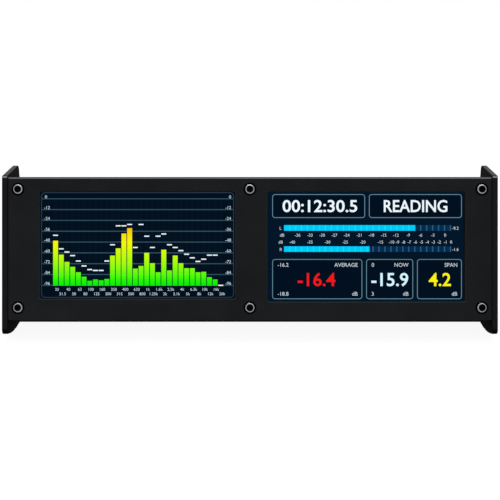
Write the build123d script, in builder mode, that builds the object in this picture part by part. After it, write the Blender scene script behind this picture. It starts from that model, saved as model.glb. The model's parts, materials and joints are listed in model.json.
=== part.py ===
from build123d import *

import os
from math import cos, pi, radians, sin, tan

os.makedirs("parts", exist_ok=True)

# A desktop audio meter: a low, wide box with two picture screens behind a leaning front panel.
# Two upright side plates carry the box. The front faces -Y and +Z is up.
# The origin is on the desk, under the middle of the whole meter.

# Driving dimensions, in millimetres and degrees
display_width = 110.7  # lit picture of a 5 inch 16:9 screen
display_height = 62.3
lens_border_x = 3.65  # cover glass beyond the picture
lens_border_y = 2.85
display_gap = 10.2  # between the two cover glasses
side_margin = 12.43  # from a cover glass to its side plate, on average
display_shift = 1.05  # both screens sit this far right of the middle
panel_margin = 6.57  # panel above and below the cover glass
tilt = 18.0  # the front panel leans back from upright
panel_thickness = 2.5
plate_thickness = 3.2
plate_lip = 0.6  # side plate above the panel's upper edge
top_edge_length = 27.5  # level upper edge of a side plate
toe_drop = 6.92  # side plate below the panel's lower edge
toe_length = 13.7  # square-cut toe, in front of the level lower edge
foot_proud = 0.8  # rubber strip below the plate's lower edge
rear_inset = 5.5  # rear panel's face, in front of the plates' rear edge
rear_thickness = 1.5
floor_gap = 3.0  # tray floor above the plates' lower edge
sheet = 1.2  # folded sheet of the tray and the cover
sheet_reveal = 0.5  # sheet's outside, within the panel's edge
bend_radius = 2.0  # outside of a fold
seam = 0.15  # open joint between the panel and a side plate
overrun = 1.0  # extra reach of every cut
slip = 0.1  # clearance of pieces that slide together

# Corner rounds of the side plates
toe_round = 2.5
sole_round = 43.0
heel_round = 4.0
tail_round = 2.2
brow_round = 0.6
plate_edge_round = 0.5

# Sizes that follow from these
lean = radians(tilt)
lens_width = display_width + 2 * lens_border_x
lens_height = display_height + 2 * lens_border_y
display_pitch = lens_width + display_gap
inner_half = (2 * lens_width + display_gap + 2 * side_margin) / 2
panel_height = lens_height + 2 * panel_margin
panel_half = panel_height / 2
toe_height = panel_half + toe_drop
brow_height = panel_half + plate_lip

# The meter stands centred on its origin, from the toes to the rear edge of the side plates
toe_reach = toe_round * cos(lean) - (toe_height - toe_round) * sin(lean) - toe_round
rear_reach = brow_height * sin(lean) + top_edge_length
panel_y = -(toe_reach + rear_reach) / 2
panel_z = foot_proud + toe_height * cos(lean) + toe_length * sin(lean)
plate_rear_y = panel_y + rear_reach
rear_outer_y = plate_rear_y - rear_inset
rear_inner_y = rear_outer_y - rear_thickness
floor_z = foot_proud + floor_gap
sheet_height = panel_half - sheet_reveal

panel_face = Plane(
    origin=(0, panel_y, panel_z), x_dir=(1, 0, 0), z_dir=(0, -cos(lean), sin(lean))
)
panel_back = panel_face.offset(-panel_thickness)
rear_face = Plane.XZ.offset(-rear_outer_y)  # local x and y are X and Z, and depth runs to -Y
rear_back = Plane.XZ.offset(-rear_inner_y)


def panel_point(depth, height):
    """Y and Z of a point behind the panel's face, at a height up the panel from its middle."""
    y = panel_y + depth * cos(lean) + height * sin(lean)
    z = panel_z - depth * sin(lean) + height * cos(lean)
    return y, z


def level_depth(height, z):
    """Depth behind the panel at which a line square to the panel reaches level z."""
    return (panel_z + height * cos(lean) - z) / sin(lean)


def upright_depth(height, y):
    """Depth behind the panel at which a line square to the panel reaches the upright at y."""
    return (y - panel_y - height * sin(lean)) / cos(lean)


# Machine screws: the heads, shanks and drives that every fastener group shares
screw_radius = 1.45
screw_hole_radius = 1.6
head_radius = 2.85
head_height = 1.65
head_crown = 1.3
key_radius = 1.7
key_depth = 1.0
nut_radius = 3.1
nut_height = 1.6


def dome_screws(seat, spots, length, scale_share=1.0):
    """Dome-headed socket screws that stand on the seat plane, with their shanks behind it."""
    height = head_height * scale_share
    with BuildPart() as screws:
        with BuildSketch(seat):
            with Locations(*spots):
                Circle(head_radius * scale_share)
        extrude(amount=height)
        crowns = screws.faces().group_by(Axis(seat.origin, seat.z_dir))[-1]
        fillet(crowns.edges(), head_crown * scale_share)
        with BuildSketch(seat.offset(height)):
            with Locations(*spots):
                RegularPolygon(key_radius * scale_share, 6)
        extrude(amount=-key_depth * scale_share, mode=Mode.SUBTRACT)
        with BuildSketch(seat):
            with Locations(*spots):
                Circle(screw_radius * scale_share)
        extrude(amount=-length)
    return screws


def press_nuts(seat, spots):
    """Round press nuts that stand on the seat plane, over the holes of the sheet in front."""
    with BuildPart() as nuts:
        with BuildSketch(seat):
            with Locations(*spots):
                Circle(nut_radius)
                Circle(screw_hole_radius, mode=Mode.SUBTRACT)
        extrude(amount=nut_height)
    return nuts


# Screens: the window, its picture and its pieces share one centre for each side
left_window_overlap_x = 0.7  # panel over each edge of the picture
left_window_overlap_y = 1.15
right_window_overlap_x = 0.0
right_window_overlap_y = 0.4
left_display_y = 2.35
right_display_y = 1.5
window_corner = 1.2
window_chamfer = 0.5

displays = {
    "left": (
        display_shift - display_pitch / 2,
        left_display_y,
        display_width - 2 * left_window_overlap_x,
        display_height - 2 * left_window_overlap_y,
    ),
    "right": (
        display_shift + display_pitch / 2,
        right_display_y,
        display_width - 2 * right_window_overlap_x,
        display_height - 2 * right_window_overlap_y,
    ),
}

# Front screws: three columns by two rows
screw_inset_x = 5.87
screw_inset_top = 6.9
screw_inset_bottom = 8.0
screw_pocket_radius = 3.6
screw_pocket_depth = 0.8
screw_columns = [screw_inset_x - inner_half, 0, inner_half - screw_inset_x]
upper_row = panel_half - screw_inset_top
lower_row = screw_inset_bottom - panel_half
upper_spots = [(x, upper_row) for x in screw_columns]
lower_spots = [(x, lower_row) for x in screw_columns]

# Front panel
panel_bevel = 0.9
panel_width = 2 * (inner_half - seam)

with BuildPart() as front_panel:
    with BuildSketch(panel_face):
        Rectangle(panel_width, panel_height)
    extrude(amount=-panel_thickness)
    rim = front_panel.faces().group_by(Axis(panel_face.origin, panel_face.z_dir))[-1].edges()
    chamfer(rim, panel_bevel)
    for window_x, window_y, window_width, window_height in displays.values():
        with BuildSketch(panel_face):
            with Locations((window_x, window_y)):
                RectangleRounded(window_width, window_height, window_corner)
        extrude(amount=-panel_thickness, mode=Mode.SUBTRACT)
        with BuildSketch(panel_face):
            with Locations((window_x, window_y)):
                RectangleRounded(
                    window_width + 2 * window_chamfer,
                    window_height + 2 * window_chamfer,
                    window_corner + window_chamfer,
                )
        extrude(amount=-window_chamfer, taper=45, mode=Mode.SUBTRACT)
    with BuildSketch(panel_face):
        with Locations(*upper_spots, *lower_spots):
            Circle(screw_pocket_radius)
    extrude(amount=-screw_pocket_depth, mode=Mode.SUBTRACT)
    with BuildSketch(panel_face):
        with Locations(*upper_spots, *lower_spots):
            Circle(screw_hole_radius)
    extrude(amount=-panel_thickness, mode=Mode.SUBTRACT)
front_panel.part.label = "front_panel"
export_step(front_panel.part, "parts/front_panel.step")

front_screw_length = panel_thickness - screw_pocket_depth + sheet + nut_height
front_screws = dome_screws(
    panel_face.offset(-screw_pocket_depth), upper_spots + lower_spots, front_screw_length
)
front_screws.part.label = "front_screws"
export_step(front_screws.part, "parts/front_screws.step")

# Side plates: a level top and bottom, an upright rear and a front that leans with the panel
side_tab_front = 4.0  # tray tab behind the fold of the floor
side_tab_rear_gap = 0.8  # tabs end this far in front of the rear panel
side_hole_drop = 3.5  # holes from the free edge of a tab
side_hole_shares = (0.22, 0.78)  # holes along a tab
cover_tab_front = 5.5  # cover tab behind the panel's face
cover_tab_height = 13.0
sink_radius = 3.0
lip_spare = 0.3
rear_screw_rise = bend_radius + nut_radius
rear_lip_height = rear_screw_rise + nut_radius + lip_spare
side_tab_height = rear_lip_height + lip_spare + nut_radius + side_hole_drop

floor_fold_y = panel_point(level_depth(-sheet_height, floor_z), -sheet_height)[0]
tray_tab_y = floor_fold_y + side_tab_front
side_tab_length = rear_inner_y - side_tab_rear_gap - tray_tab_y
cover_rear_depth = upright_depth(sheet_height, rear_inner_y)
cover_tab_length = cover_rear_depth - side_tab_rear_gap - cover_tab_front
tray_hole_z = floor_z + side_tab_height - side_hole_drop
cover_hole_height = sheet_height - cover_tab_height + side_hole_drop
cover_hole_depths = [cover_tab_front + share * cover_tab_length for share in side_hole_shares]
tray_side_spots = [
    (tray_tab_y + share * side_tab_length, tray_hole_z) for share in side_hole_shares
]
cover_side_spots = [panel_point(depth, cover_hole_height) for depth in cover_hole_depths]
side_spots = tray_side_spots + cover_side_spots

plate_corners = [
    panel_point(0, -toe_height),
    panel_point(toe_length, -toe_height),
    (plate_rear_y, foot_proud),
    (plate_rear_y, panel_point(0, brow_height)[1]),
    panel_point(0, brow_height),
]
plate_rounds = [toe_round, sole_round, heel_round, tail_round, brow_round]

# Rubber strips let into the lower edges of the side plates
strip_front_gap = 1.0
strip_rear_gap = 0.6
strip_width = 2.2
strip_depth = 1.2
sole_start_y = plate_corners[1][0] + sole_round * tan(lean / 2)
strip_front_y = sole_start_y + strip_front_gap
strip_rear_y = plate_rear_y - heel_round - strip_rear_gap
strip_length = strip_rear_y - strip_front_y
strip_middle_y = (strip_rear_y + strip_front_y) / 2

for side, sign in (("left", -1), ("right", 1)):
    plate_middle = sign * (inner_half + plate_thickness / 2)
    outer_face = Plane(
        origin=(sign * (inner_half + plate_thickness), 0, 0),
        x_dir=(0, sign, 0),
        z_dir=(sign, 0, 0),
    )
    with BuildPart() as side_plate:
        with BuildSketch(Plane.YZ.offset(plate_middle)):
            with BuildLine():
                FilletPolyline(*plate_corners, radius=plate_rounds, close=True)
            make_face()
        extrude(amount=plate_thickness / 2, both=True)
        flanks = side_plate.faces().sort_by(Axis.X)
        fillet(flanks[0].edges() + flanks[-1].edges(), plate_edge_round)
        with Locations(outer_face):
            with Locations(*[(sign * y, z) for y, z in side_spots]):
                CounterSinkHole(screw_hole_radius, sink_radius)
        with BuildSketch(Plane.XY.offset(foot_proud)):
            with Locations((plate_middle, strip_middle_y)):
                Rectangle(strip_width, strip_length)
        extrude(amount=strip_depth, mode=Mode.SUBTRACT)
    side_plate.part.label = f"side_plate_{side}"
    export_step(side_plate.part, f"parts/side_plate_{side}.step")

    with BuildPart() as foot_strip:
        with BuildSketch(Plane.XY):
            with Locations((plate_middle, strip_middle_y)):
                Rectangle(strip_width - slip, strip_length - slip)
        extrude(amount=foot_proud + strip_depth)
    foot_strip.part.label = f"foot_strip_{side}"
    export_step(foot_strip.part, f"parts/foot_strip_{side}.step")

side_screw_length = plate_thickness + sheet + nut_height
sink_depth = sink_radius - screw_hole_radius
with BuildPart() as side_screws:
    for sign in (-1, 1):
        outer_face = Plane(
            origin=(sign * (inner_half + plate_thickness), 0, 0),
            x_dir=(0, sign, 0),
            z_dir=(sign, 0, 0),
        )
        spots = [(sign * y, z) for y, z in side_spots]
        with BuildSketch(outer_face):
            with Locations(*spots):
                Circle(sink_radius - slip)
        extrude(amount=-(sink_depth - slip), taper=45)
        with BuildSketch(outer_face):
            with Locations(*spots):
                Circle(screw_radius)
        extrude(amount=-side_screw_length)
        with BuildSketch(outer_face):
            with Locations(*spots):
                RegularPolygon(key_radius, 6)
        extrude(amount=-key_depth, mode=Mode.SUBTRACT)
side_screws.part.label = "side_screws"
export_step(side_screws.part, "parts/side_screws.step")

# Bottom tray: one sheet folded into a front lip, a sloping floor, a level floor and a rear lip
lip_height = 3.0
tab_height = 13.0
end_tab_width = 10.6
middle_tab_width = 7.0
tab_widths = [end_tab_width, middle_tab_width, end_tab_width]
tab_columns = [end_tab_width / 2 - inner_half, 0, inner_half - end_tab_width / 2]

board_thickness = 1.6
board_gap = rear_lip_height + lip_spare - sheet - board_thickness  # above the tray's floor
board_rear_gap = 0.6
board_depth = 30.0
board_end_gap = 13.0
board_bottom = floor_z + sheet + board_gap
board_top = board_bottom + board_thickness
board_rear_y = rear_inner_y - sheet - nut_height - board_rear_gap
board_front_y = board_rear_y - board_depth
board_half = inner_half - board_end_gap
board_hole_inset = 3.2
standoff_fold_gap = 3.0  # front standoffs behind the fold of the floor
board_spots = [
    (x, y)
    for x in (board_hole_inset - board_half, 0, board_half - board_hole_inset)
    for y in (floor_fold_y + standoff_fold_gap, board_rear_y - board_hole_inset)
]
rear_columns = [screw_inset_x - inner_half, 0, inner_half - screw_inset_x]
rear_lower_spots = [(x, floor_z + rear_screw_rise) for x in rear_columns]

floor_inner_depth = level_depth(sheet - sheet_height, floor_z + sheet)
floor_inner_fold_y = panel_point(floor_inner_depth, sheet - sheet_height)[0]

with BuildPart() as bottom_tray:
    with BuildSketch(Plane.YZ):
        with BuildLine():
            FilletPolyline(
                panel_point(panel_thickness, lip_height - sheet_height),
                panel_point(panel_thickness, -sheet_height),
                (floor_fold_y, floor_z),
                (rear_inner_y, floor_z),
                (rear_inner_y, floor_z + rear_lip_height),
                (rear_inner_y - sheet, floor_z + rear_lip_height),
                (rear_inner_y - sheet, floor_z + sheet),
                (floor_inner_fold_y, floor_z + sheet),
                panel_point(panel_thickness + sheet, sheet - sheet_height),
                panel_point(panel_thickness + sheet, lip_height - sheet_height),
                radius=[0, *3 * [bend_radius], 0, 0, *3 * [bend_radius - sheet], 0],
                close=True,
            )
        make_face()
    extrude(amount=inner_half, both=True)
    with BuildSketch(panel_back):
        for x, width in zip(tab_columns, tab_widths):
            with Locations((x, bend_radius + tab_height / 2 - sheet_height)):
                Rectangle(width, tab_height)
    extrude(amount=-sheet)
    with BuildSketch(panel_back):
        with Locations(*lower_spots):
            Circle(screw_hole_radius)
    extrude(amount=-sheet, mode=Mode.SUBTRACT)
    for sign in (-1, 1):
        with BuildSketch(Plane.YZ.offset(sign * inner_half)):
            with Locations((tray_tab_y + side_tab_length / 2, floor_z + side_tab_height / 2)):
                Rectangle(side_tab_length, side_tab_height)
            with Locations(*tray_side_spots):
                Circle(screw_hole_radius, mode=Mode.SUBTRACT)
        extrude(amount=-sign * sheet)
    with BuildSketch(rear_back):
        with Locations(*rear_lower_spots):
            Circle(screw_hole_radius)
    extrude(amount=sheet, mode=Mode.SUBTRACT)
bottom_tray.part.label = "bottom_tray"
export_step(bottom_tray.part, "parts/bottom_tray.step")

# Top cover: one sheet folded into a front lip, a sloping top with vents and a rear lip
cover_rear_z = panel_point(cover_rear_depth, sheet_height)[1]
cover_inner_depth = upright_depth(sheet_height - sheet, rear_inner_y - sheet)
cover_inner_z = panel_point(cover_inner_depth, sheet_height - sheet)[1]
cover_lip_height = 8.6
cover_screw_drop = 5.0
rear_upper_spots = [(x, cover_rear_z - cover_screw_drop) for x in rear_columns]
vent_width = 2.4
vent_length = 11.0
vent_pitch = 5.2
vent_count = 18
vent_middle_depth = 13.5

with BuildPart() as top_cover:
    with BuildSketch(Plane.YZ):
        with BuildLine():
            FilletPolyline(
                panel_point(panel_thickness, sheet_height - lip_height),
                panel_point(panel_thickness, sheet_height),
                (rear_inner_y, cover_rear_z),
                (rear_inner_y, cover_rear_z - cover_lip_height),
                (rear_inner_y - sheet, cover_rear_z - cover_lip_height),
                (rear_inner_y - sheet, cover_inner_z),
                panel_point(panel_thickness + sheet, sheet_height - sheet),
                panel_point(panel_thickness + sheet, sheet_height - lip_height),
                radius=[0, *2 * [bend_radius], 0, 0, *2 * [bend_radius - sheet], 0],
                close=True,
            )
        make_face()
    extrude(amount=inner_half, both=True)
    with BuildSketch(panel_back):
        for x, width in zip(tab_columns, tab_widths):
            with Locations((x, sheet_height - bend_radius - tab_height / 2)):
                Rectangle(width, tab_height)
    extrude(amount=-sheet)
    with BuildSketch(panel_back):
        with Locations(*upper_spots):
            Circle(screw_hole_radius)
    extrude(amount=-sheet, mode=Mode.SUBTRACT)
    for sign in (-1, 1):
        cover_end = Plane(
            origin=(sign * inner_half, panel_y, panel_z),
            x_dir=(0, cos(lean), -sin(lean)),
            z_dir=(1, 0, 0),
        )
        with BuildSketch(cover_end):
            with Locations(
                (cover_tab_front + cover_tab_length / 2, sheet_height - cover_tab_height / 2)
            ):
                Rectangle(cover_tab_length, cover_tab_height)
            with Locations(*[(depth, cover_hole_height) for depth in cover_hole_depths]):
                Circle(screw_hole_radius, mode=Mode.SUBTRACT)
        extrude(amount=-sign * sheet)
    cover_top = Plane(
        origin=(0, *panel_point(vent_middle_depth, sheet_height)),
        x_dir=(1, 0, 0),
        z_dir=(0, sin(lean), cos(lean)),
    )
    with BuildSketch(cover_top):
        with GridLocations(vent_pitch, 0, vent_count, 1):
            SlotOverall(vent_length, vent_width, rotation=90)
    extrude(amount=-sheet - overrun, mode=Mode.SUBTRACT)
    with BuildSketch(rear_back):
        with Locations(*rear_upper_spots):
            Circle(screw_hole_radius)
    extrude(amount=sheet, mode=Mode.SUBTRACT)
top_cover.part.label = "top_cover"
export_step(top_cover.part, "parts/top_cover.step")

# Rear sockets, from the meter's right end to its left end as seen from the front
digital_share = 0.148  # places along half of the box
analog_right_share = 0.399
analog_left_share = 0.65
usb_share = -0.163
inlet_share = -0.443
switch_share = -0.724
socket_rise = 15.0  # socket axis above the main board
socket_z = board_top + socket_rise
socket_xs = {
    "digital": digital_share * inner_half,
    "analog_right": analog_right_share * inner_half,
    "analog_left": analog_left_share * inner_half,
}
flange_width = 26.0
flange_height = 31.0
flange_thickness = 2.2
flange_corner = 3.0
flange_screw_x = 9.5
flange_screw_z = 12.0
barrel_radius = 11.9
barrel_depth = 21.0

usb_x = usb_share * inner_half
usb_width = 8.9
usb_height = 3.2
usb_wall = 0.35
usb_depth = 8.0
usb_z = board_top + usb_height / 2

inlet_x = inlet_share * inner_half
inlet_width = 9.0
inlet_height = 11.0
inlet_depth = 13.0
inlet_rise = 6.4
inlet_z = board_top + inlet_rise
inlet_snout_radius = 4.2
inlet_bore_radius = 3.15
inlet_bore_depth = 9.5
inlet_pin_radius = 1.0

switch_x = switch_share * inner_half
switch_z = socket_z
bezel_width = 15.0
bezel_height = 21.0
bezel_thickness = 2.0
bezel_corner = 1.0
switch_body_width = 13.0
switch_body_height = 19.2
switch_body_depth = 13.0

# Rear panel
rear_top_gap = 0.4
rear_top_z = panel_point(upright_depth(sheet_height, rear_outer_y), sheet_height)[1] - rear_top_gap
rear_height = rear_top_z - floor_z
socket_spots = [(x, socket_z) for x in socket_xs.values()]
flange_spots = [
    (x + dx, socket_z + dz)
    for x in socket_xs.values()
    for dx, dz in ((-flange_screw_x, flange_screw_z), (flange_screw_x, -flange_screw_z))
]

with BuildPart() as rear_panel:
    with BuildSketch(rear_face):
        with Locations((0, floor_z + rear_height / 2)):
            Rectangle(panel_width, rear_height)
        with Locations(*socket_spots):
            Circle(barrel_radius + slip, mode=Mode.SUBTRACT)
        with Locations(*flange_spots, *rear_lower_spots, *rear_upper_spots):
            Circle(screw_hole_radius, mode=Mode.SUBTRACT)
        with Locations((usb_x, usb_z)):
            SlotOverall(usb_width + 2 * slip, usb_height + 2 * slip, mode=Mode.SUBTRACT)
        with Locations((inlet_x, inlet_z)):
            Circle(inlet_snout_radius + slip, mode=Mode.SUBTRACT)
        with Locations((switch_x, switch_z)):
            Rectangle(
                switch_body_width + 2 * slip, switch_body_height + 2 * slip, mode=Mode.SUBTRACT
            )
    extrude(amount=rear_thickness)
rear_panel.part.label = "rear_panel"
export_step(rear_panel.part, "parts/rear_panel.step")

rear_screw_face = Plane(origin=(0, rear_outer_y, 0), x_dir=(-1, 0, 0), z_dir=(0, 1, 0))
rear_screws = dome_screws(
    rear_screw_face,
    [(-x, z) for x, z in rear_lower_spots + rear_upper_spots],
    rear_thickness + sheet + nut_height,
)
rear_screws.part.label = "rear_panel_screws"
export_step(rear_screws.part, "parts/rear_panel_screws.step")

# Press nuts behind the tabs, the lips and the side tabs
front_nuts = press_nuts(panel_back.offset(-sheet - nut_height), upper_spots + lower_spots)
front_nuts.part.label = "front_nuts"
export_step(front_nuts.part, "parts/front_nuts.step")

rear_nuts = press_nuts(rear_back.offset(sheet), rear_lower_spots + rear_upper_spots)
rear_nuts.part.label = "rear_nuts"
export_step(rear_nuts.part, "parts/rear_nuts.step")

with BuildPart() as side_nuts:
    for sign in (-1, 1):
        with BuildSketch(Plane.YZ.offset(sign * (inner_half - sheet))):
            with Locations(*side_spots):
                Circle(nut_radius)
                Circle(screw_hole_radius, mode=Mode.SUBTRACT)
        extrude(amount=-sign * nut_height)
side_nuts.part.label = "side_nuts"
export_step(side_nuts.part, "parts/side_nuts.step")

# Screens: gasket, cover glass, picture panel, bracket and driver board, stacked behind each window
gasket_thickness = 0.3
gasket_inset = 0.6  # gasket outside the window's edge
glass_thickness = 0.8
glass_corner = 1.5
lcd_inset = 0.5  # picture panel inside the cover glass
lcd_thickness = 3.2
picture_recess = 0.25  # lit picture behind the picture panel's metal frame
bracket_thickness = 1.0
bracket_inset = 3.0
bracket_slot_share = 0.62
ear_width = 7.0
ear_height = 8.0
ear_reach = 4.6  # ear's hole beyond the cover glass
ear_hole_radius = 1.1
post_radius = 2.0
stud_radius = 1.0
stud_head_radius = 1.9
stud_head_height = 1.2
left_ear_share = 0.53  # ears up half of the cover glass
right_ear_share = 0.24

driver_width = 92.0
driver_height = 26.0
driver_rise = 15.5  # driver board's middle above the screen's middle
driver_gap = 3.0
driver_hole_inset = 3.0
chip_width = 12.0
chip_height = 1.4

gasket_face = panel_back
glass_face = panel_back.offset(-gasket_thickness)
lcd_face = glass_face.offset(-glass_thickness)
bracket_face = lcd_face.offset(-lcd_thickness)
bracket_back = bracket_face.offset(-bracket_thickness)
driver_face = bracket_back.offset(-driver_gap)
driver_back = driver_face.offset(-board_thickness)
ear_heights = {
    "left": left_ear_share * lens_height / 2,
    "right": right_ear_share * lens_height / 2,
}
ribbon_width = 10.0
ribbon_thickness = 0.3
ribbon_xs = {
    "left": displays["left"][0],
    "right": (socket_xs["analog_left"] + socket_xs["analog_right"]) / 2,
}
ribbon_socket_width = 13.0
ribbon_socket_height = 1.8
ribbon_socket_length = 4.0

post_spots = []
driver_spots = []
for side, (display_x, display_y, window_width, window_height) in displays.items():
    ear_x = lens_width / 2 + ear_reach
    ear_y = ear_heights[side]
    ear_spots = [(display_x + sx * ear_x, sy * ear_y) for sx in (-1, 1) for sy in (-1, 1)]
    driver_y = display_y + driver_rise
    hole_x = driver_width / 2 - driver_hole_inset
    hole_y = driver_height / 2 - driver_hole_inset
    hole_spots = [
        (display_x + sx * hole_x, driver_y + sy * hole_y) for sx in (-1, 1) for sy in (-1, 1)
    ]
    post_spots += ear_spots
    driver_spots += hole_spots

    with BuildPart() as gasket:
        with BuildSketch(gasket_face):
            with Locations((display_x, display_y)):
                RectangleRounded(lens_width, lens_height, glass_corner)
                RectangleRounded(
                    window_width + 2 * gasket_inset,
                    window_height + 2 * gasket_inset,
                    window_corner,
                    mode=Mode.SUBTRACT,
                )
        extrude(amount=-gasket_thickness)
    gasket.part.label = f"gasket_{side}"
    export_step(gasket.part, f"parts/gasket_{side}.step")

    with BuildPart() as cover_glass:
        with BuildSketch(glass_face):
            with Locations((display_x, display_y)):
                RectangleRounded(lens_width, lens_height, glass_corner)
        extrude(amount=-glass_thickness)
    cover_glass.part.label = f"cover_glass_{side}"
    export_step(cover_glass.part, f"parts/cover_glass_{side}.step")

    with BuildPart() as lcd:
        with BuildSketch(lcd_face):
            with Locations((display_x, display_y)):
                Rectangle(lens_width - 2 * lcd_inset, lens_height - 2 * lcd_inset)
        extrude(amount=-lcd_thickness)
        with BuildSketch(lcd_face):
            with Locations((display_x, display_y)):
                Rectangle(display_width, display_height)
        extrude(amount=-picture_recess, mode=Mode.SUBTRACT)
    lcd.part.label = f"lcd_{side}"
    export_step(lcd.part, f"parts/lcd_{side}.step")

    bracket_width = lens_width - 2 * bracket_inset
    bracket_height = lens_height - 2 * bracket_inset
    with BuildPart() as bracket:
        with BuildSketch(bracket_face):
            with Locations((display_x, display_y)):
                Rectangle(bracket_width, bracket_height)
            for spot_x, spot_y in ear_spots:
                inward = display_x + (spot_x - display_x) * bracket_width / (2 * ear_x)
                with Locations(((spot_x + inward) / 2, spot_y)):
                    Rectangle(abs(spot_x - inward) + ear_width, ear_height)
            with Locations(*ear_spots, *hole_spots):
                Circle(ear_hole_radius, mode=Mode.SUBTRACT)
            with Locations((display_x, display_y - driver_rise)):
                RectangleRounded(
                    bracket_width * bracket_slot_share,
                    driver_height * bracket_slot_share,
                    window_corner,
                    mode=Mode.SUBTRACT,
                )
        extrude(amount=-bracket_thickness)
    bracket.part.label = f"display_bracket_{side}"
    export_step(bracket.part, f"parts/display_bracket_{side}.step")

    with BuildPart() as driver_board:
        with BuildSketch(driver_face):
            with Locations((display_x, driver_y)):
                Rectangle(driver_width, driver_height)
            with Locations(*hole_spots):
                Circle(ear_hole_radius, mode=Mode.SUBTRACT)
        extrude(amount=-board_thickness)
        with BuildSketch(driver_back):
            with Locations((display_x - chip_width, driver_y), (display_x + chip_width, driver_y)):
                Rectangle(chip_width, chip_width)
        extrude(amount=-chip_height)
    driver_board.part.label = f"driver_board_{side}"
    export_step(driver_board.part, f"parts/driver_board_{side}.step")

# Posts, screws and spacers that hold the screens and their boards
post_length = gasket_thickness + glass_thickness + lcd_thickness
with BuildPart() as display_posts:
    with BuildSketch(panel_back):
        with Locations(*post_spots):
            Circle(post_radius)
            Circle(ear_hole_radius, mode=Mode.SUBTRACT)
    extrude(amount=-post_length)
display_posts.part.label = "display_posts"
export_step(display_posts.part, "parts/display_posts.step")

with BuildPart() as driver_spacers:
    with BuildSketch(bracket_back):
        with Locations(*driver_spots):
            Circle(post_radius)
            Circle(ear_hole_radius, mode=Mode.SUBTRACT)
    extrude(amount=-driver_gap)
driver_spacers.part.label = "driver_spacers"
export_step(driver_spacers.part, "parts/driver_spacers.step")


def pan_screws(seat, spots, length):
    """Small pan-headed screws behind a seat plane, with their shanks in front of it."""
    with BuildPart() as screws:
        with BuildSketch(seat):
            with Locations(*spots):
                Circle(stud_head_radius)
        extrude(amount=-stud_head_height)
        with BuildSketch(seat):
            with Locations(*spots):
                Circle(stud_radius)
        extrude(amount=length)
    return screws


bracket_screws = pan_screws(bracket_back, post_spots, bracket_thickness + post_length)
bracket_screws.part.label = "bracket_screws"
export_step(bracket_screws.part, "parts/bracket_screws.step")

driver_screws = pan_screws(
    driver_back, driver_spots, board_thickness + driver_gap + bracket_thickness
)
driver_screws.part.label = "driver_screws"
export_step(driver_screws.part, "parts/driver_screws.step")

# Main board on its standoffs
standoff_radius = 2.8
with BuildPart() as main_board:
    with BuildSketch(Plane.XY.offset(board_bottom)):
        with Locations((0, (board_front_y + board_rear_y) / 2)):
            Rectangle(2 * board_half, board_depth)
        with Locations(*board_spots):
            Circle(screw_hole_radius, mode=Mode.SUBTRACT)
    extrude(amount=board_thickness)
main_board.part.label = "main_board"
export_step(main_board.part, "parts/main_board.step")

with BuildPart() as board_standoffs:
    with BuildSketch(Plane.XY.offset(floor_z + sheet)):
        with Locations(*board_spots):
            RegularPolygon(standoff_radius, 6)
            Circle(screw_hole_radius, mode=Mode.SUBTRACT)
    extrude(amount=board_gap)
board_standoffs.part.label = "board_standoffs"
export_step(board_standoffs.part, "parts/board_standoffs.step")

board_screws = dome_screws(
    Plane.XY.offset(board_top), board_spots, board_thickness + board_gap
)
board_screws.part.label = "board_screws"
export_step(board_screws.part, "parts/board_screws.step")

# Processor under a can with a finned heat sink, at the meter's left of the middle
can_size = 22.0
can_gap = 3.5  # can beside the left ribbon's socket
can_x = ribbon_xs["left"] + ribbon_socket_width / 2 + can_gap + can_size / 2
can_height = 2.6
can_front_gap = 5.0
can_y = board_front_y + can_front_gap + can_size / 2
fin_count = 7
fin_thickness = 1.2
fin_height = 6.0
sink_base = 1.8
fin_pitch = (can_size - fin_thickness) / (fin_count - 1)

with BuildPart() as processor_can:
    with BuildSketch(Plane.XY.offset(board_top)):
        with Locations((can_x, can_y)):
            Rectangle(can_size, can_size)
    extrude(amount=can_height)
processor_can.part.label = "processor_can"
export_step(processor_can.part, "parts/processor_can.step")

with BuildPart() as heat_sink:
    with BuildSketch(Plane.XY.offset(board_top + can_height)):
        with Locations((can_x, can_y)):
            Rectangle(can_size, can_size)
    extrude(amount=sink_base)
    with BuildSketch(Plane.XY.offset(board_top + can_height + sink_base)):
        with Locations((can_x, can_y)):
            with GridLocations(fin_pitch, 0, fin_count, 1):
                Rectangle(fin_thickness, can_size)
    extrude(amount=fin_height)
heat_sink.part.label = "heat_sink"
export_step(heat_sink.part, "parts/heat_sink.step")

# Smaller pieces on the main board
capacitor_radius = 4.0
capacitor_height = 10.0
capacitor_pitch = 10.0
capacitor_count = 3
capacitor_first_x = switch_x + bezel_width
capacitor_front_gap = 9.0
converter_front_gap = 8.0
with BuildPart() as capacitors:
    with BuildSketch(Plane.XY.offset(board_top)):
        for i in range(capacitor_count):
            spot_x = capacitor_first_x - i * capacitor_pitch
            with Locations((spot_x, board_front_y + capacitor_front_gap)):
                Circle(capacitor_radius)
    extrude(amount=capacitor_height)
capacitors.part.label = "capacitors"
export_step(capacitors.part, "parts/capacitors.step")

with BuildPart() as converter_chips:
    with BuildSketch(Plane.XY.offset(board_top)):
        for spot_x in (socket_xs["digital"], socket_xs["analog_right"]):
            with Locations((spot_x, board_front_y + converter_front_gap)):
                Rectangle(chip_width, chip_width)
    extrude(amount=chip_height)
converter_chips.part.label = "converter_chips"
export_step(converter_chips.part, "parts/converter_chips.step")

# Flat ribbons from each driver board down to a socket on the main board
ribbon_depth = (
    panel_thickness + post_length + bracket_thickness + driver_gap + board_thickness
    + ribbon_socket_height / 2
)
upper_socket_rise = 4.0  # socket's middle above the driver board's lower edge
ribbon_bend = 9.0
ribbon_drop = 8.0
ribbon_end_z = board_top + ribbon_socket_length
ribbon_low_z = ribbon_end_z + ribbon_drop

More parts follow.
